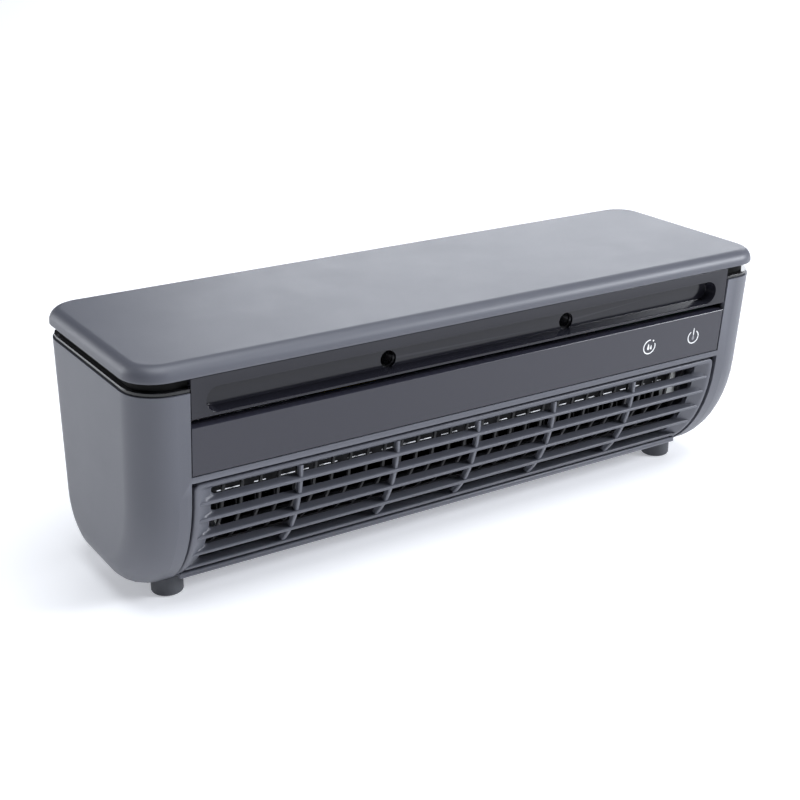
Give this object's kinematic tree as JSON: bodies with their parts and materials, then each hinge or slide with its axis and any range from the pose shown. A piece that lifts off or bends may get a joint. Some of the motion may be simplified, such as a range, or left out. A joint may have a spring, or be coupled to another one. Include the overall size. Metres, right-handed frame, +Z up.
{
  "type": "filament dryer box",
  "caption": "Slim hot-air filament dryer with a lift-off lid, touch panel, bent louvre grille and a cross-flow blower inside",
  "frame": {"origin": "on the floor under the middle of the body, at the height of the feet's soles", "axes": "+X along the length to the touch keys' side, -Y out through the louvres, +Z up"},
  "size_m": [0.3, 0.0964, 0.1071],
  "materials": {
    "grey_plastic": "fine moulded grain, satin",
    "black_plastic": "smooth satin black",
    "gloss_black": "polished black",
    "panel_black": "smooth dark touch surface",
    "inner_plastic": "plain black",
    "rubber_grey": "soft matt rubber",
    "steel": "machined",
    "aluminium": "bare rolled sheet",
    "brass": "turned",
    "circuit_green": "solder resist",
    "component": "moulded case",
    "transformer_tape": "wound tape",
    "filter_foam": "open cell foam",
    "white_plastic": "heat resistant moulding"
  },
  "bodies": {
    "body": {"bearing_bush": "brass", "bearing_plate": "white_plastic", "blower_motor": "steel", "body_shell": "grey_plastic", "deck_plate": "inner_plastic", "deck_screw_1": "steel", "deck_screw_2": "steel", "deck_screw_3": "steel", "deck_screw_4": "steel", "desiccant_cover_left": "white_plastic", "desiccant_cover_right": "white_plastic", "desiccant_tray_left": "white_plastic", "desiccant_tray_right": "white_plastic", "foot_1": "rubber_grey", "foot_2": "rubber_grey", "foot_3": "rubber_grey", "foot_4": "rubber_grey", "foot_screw_1": "steel", "foot_screw_2": "steel", "foot_screw_3": "steel", "foot_screw_4": "steel", "heat_sink": "aluminium", "heater_bracket_left": "white_plastic", "heater_bracket_right": "white_plastic", "heater_core": "aluminium", "heater_fins_lower": "aluminium", "heater_fins_upper": "aluminium", "humidity_sensor": "circuit_green", "inner_guard": "inner_plastic", "louvre_grille": "grey_plastic", "main_board": "circuit_green", "power_inlet": "inner_plastic", "relay": "component", "rim_bezel": "gloss_black", "scroll_housing": "inner_plastic", "scroll_tongue": "inner_plastic", "smoothing_capacitor": "component", "terminal_block": "white_plastic", "thermal_cutout": "component", "touch_board": "circuit_green", "touch_panel": "panel_black", "transformer": "transformer_tape"},
    "lid": {"lid_cover": "grey_plastic", "top_frame": "black_plastic", "port_insert_left": "steel", "port_insert_right": "steel"},
    "rotor": {"impeller": "inner_plastic", "impeller_shaft": "steel"},
    "intake": {"intake_cover": "grey_plastic", "dust_filter": "filter_foam"}
  },
  "joints": [
    {"name": "lid_lift", "type": "slide", "parent": "body", "child": "lid", "axis": [0, 0, 1], "range_m": [0, 0.045]},
    {"name": "rotor_spin", "type": "hinge", "parent": "body", "child": "rotor", "pos_m": [0, 0.007, 0.036], "axis": [1, 0, 0], "continuous": true},
    {"name": "intake_pull", "type": "slide", "parent": "body", "child": "intake", "axis": [0, 1, 0], "range_m": [0, 0.025]}
  ]
}
